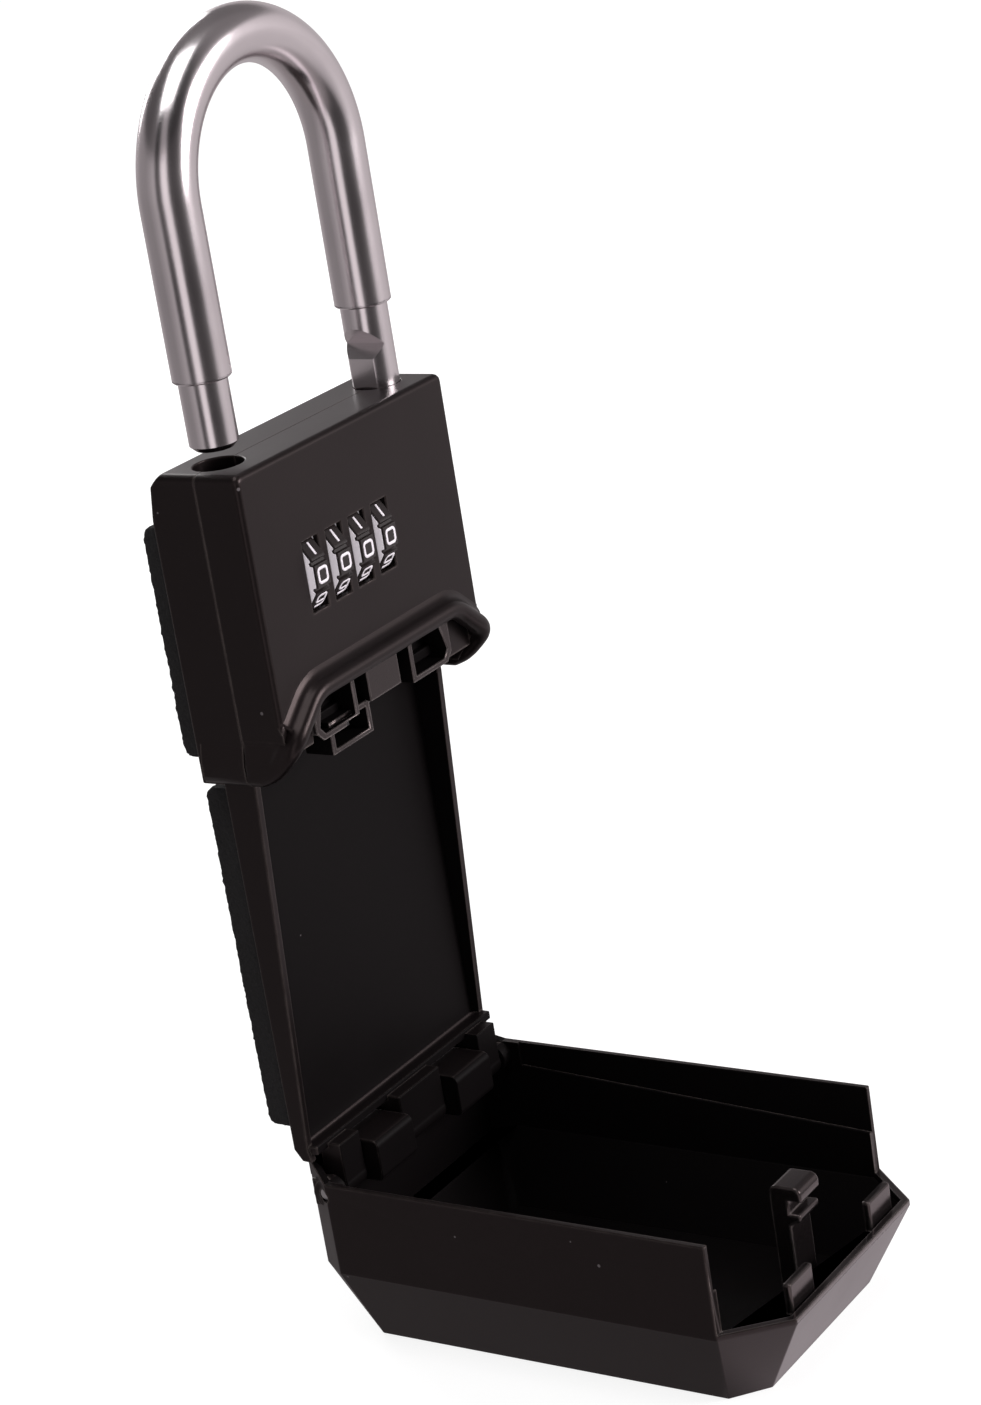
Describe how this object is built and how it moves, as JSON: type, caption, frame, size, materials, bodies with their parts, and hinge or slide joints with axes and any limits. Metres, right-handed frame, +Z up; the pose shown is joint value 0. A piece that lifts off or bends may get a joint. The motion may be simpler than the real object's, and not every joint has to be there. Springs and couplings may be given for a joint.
{
  "type": "key lock box",
  "caption": "Portable key lock box with a lifting shackle, number dials and a drop-down door on a bottom hinge; stands on its open door.",
  "frame": {"origin": "on the floor plane, under the middle of the box that holds the whole object: the object stands on the outside of its open door", "axes": "+X towards the object's right as seen from the front, +Y from the front face to the back face, +Z up"},
  "size_m": [0.0674, 0.1098, 0.2525],
  "materials": {
    "black_casting": "satin black coating on a die casting",
    "chrome": "bright plated steel",
    "steel": "plain steel",
    "spring_steel": "spring wire and strip",
    "dark_steel": "blackened sheet steel",
    "brass": "machined brass",
    "dial_black": "gloss black with white numbers",
    "foam": "rough black foam"
  },
  "bodies": {
    "case": {"rear_case": "black_casting", "front_cover": "black_casting", "upper_back_pad": "foam", "lower_back_pad": "foam", "cover_screws": "steel", "hinge_pin": "steel", "dial_bracket": "steel", "dial_spindle": "steel", "spindle_clip": "spring_steel", "detent_spring": "spring_steel", "fence_spring": "spring_steel", "rocker_pivot": "steel", "bolt_spring": "spring_steel", "shackle_retaining_pin": "steel", "heel_spring": "spring_steel"},
    "dial_1": {"dial_wheel_1": "dial_black", "gate_sleeve_1": "brass"},
    "dial_2": {"dial_wheel_2": "dial_black", "gate_sleeve_2": "brass"},
    "dial_3": {"dial_wheel_3": "dial_black", "gate_sleeve_3": "brass"},
    "dial_4": {"dial_wheel_4": "dial_black", "gate_sleeve_4": "brass"},
    "fence": {"fence_slide": "steel"},
    "latch": {"latch_bolt": "steel"},
    "toe_lock": {"toe_bolt": "dark_steel"},
    "heel_lock": {"heel_bolt": "dark_steel"},
    "rocker": {"bolt_rocker": "steel"},
    "lift_cup": {"heel_spring_cup": "steel"},
    "shackle": {"shackle": "chrome"},
    "door": {"door": "black_casting"}
  },
  "joints": [
    {"name": "dial_1_turn", "type": "hinge", "parent": "case", "child": "dial_1", "pos_m": [-0.0154, 0.03525, 0.15215], "axis": [1, 0, 0], "continuous": true},
    {"name": "dial_2_turn", "type": "hinge", "parent": "case", "child": "dial_2", "pos_m": [-0.00806, 0.03525, 0.15215], "axis": [1, 0, 0], "continuous": true},
    {"name": "dial_3_turn", "type": "hinge", "parent": "case", "child": "dial_3", "pos_m": [-0.00073, 0.03525, 0.15215], "axis": [1, 0, 0], "continuous": true},
    {"name": "dial_4_turn", "type": "hinge", "parent": "case", "child": "dial_4", "pos_m": [0.0066, 0.03525, 0.15215], "axis": [1, 0, 0], "continuous": true},
    {"name": "fence_shift", "type": "slide", "parent": "case", "child": "fence", "axis": [1, 0, 0], "range_m": [0, 0.0019]},
    {"name": "latch_drop", "type": "slide", "parent": "case", "child": "latch", "axis": [0, 0, -1], "range_m": [0, 0.00261]},
    {"name": "heel_lock_shift", "type": "slide", "parent": "case", "child": "heel_lock", "axis": [-1, 0, 0], "range_m": [-0.0021, 0]},
    {"name": "toe_lock_shift", "type": "slide", "parent": "case", "child": "toe_lock", "axis": [1, 0, 0], "range_m": [-0.0021, 0]},
    {"name": "rocker_turn", "type": "hinge", "parent": "case", "child": "rocker", "pos_m": [0, 0.03815, 0.1685], "axis": [0, 1, 0], "range_deg": [-35.2, 0]},
    {"name": "shackle_lift", "type": "slide", "parent": "case", "child": "lift_cup", "axis": [0, 0, 1], "range_m": [-0.0156, 0], "stiffness_N_per_m": 80, "springref_m": 0.03, "deforming": ["heel_spring"]},
    {"name": "shackle_swing", "type": "hinge", "parent": "lift_cup", "child": "shackle", "pos_m": [0.0252, 0.03815, 0.1915], "axis": [0, 0, -1], "range_deg": [0, 350]},
    {"name": "door_hinge", "type": "hinge", "parent": "case", "child": "door", "pos_m": [0, 0.03995, 0.0326], "axis": [-1, 0, 0], "range_deg": [0, 90]}
  ],
  "couplings": [
    {"joint": "latch_drop", "follows": "fence_shift", "ratio": 1.3684},
    {"joint": "toe_lock_shift", "follows": "heel_lock_shift", "ratio": 1},
    {"joint": "rocker_turn", "follows": "heel_lock_shift", "rad_per_m": 290.2}
  ]
}
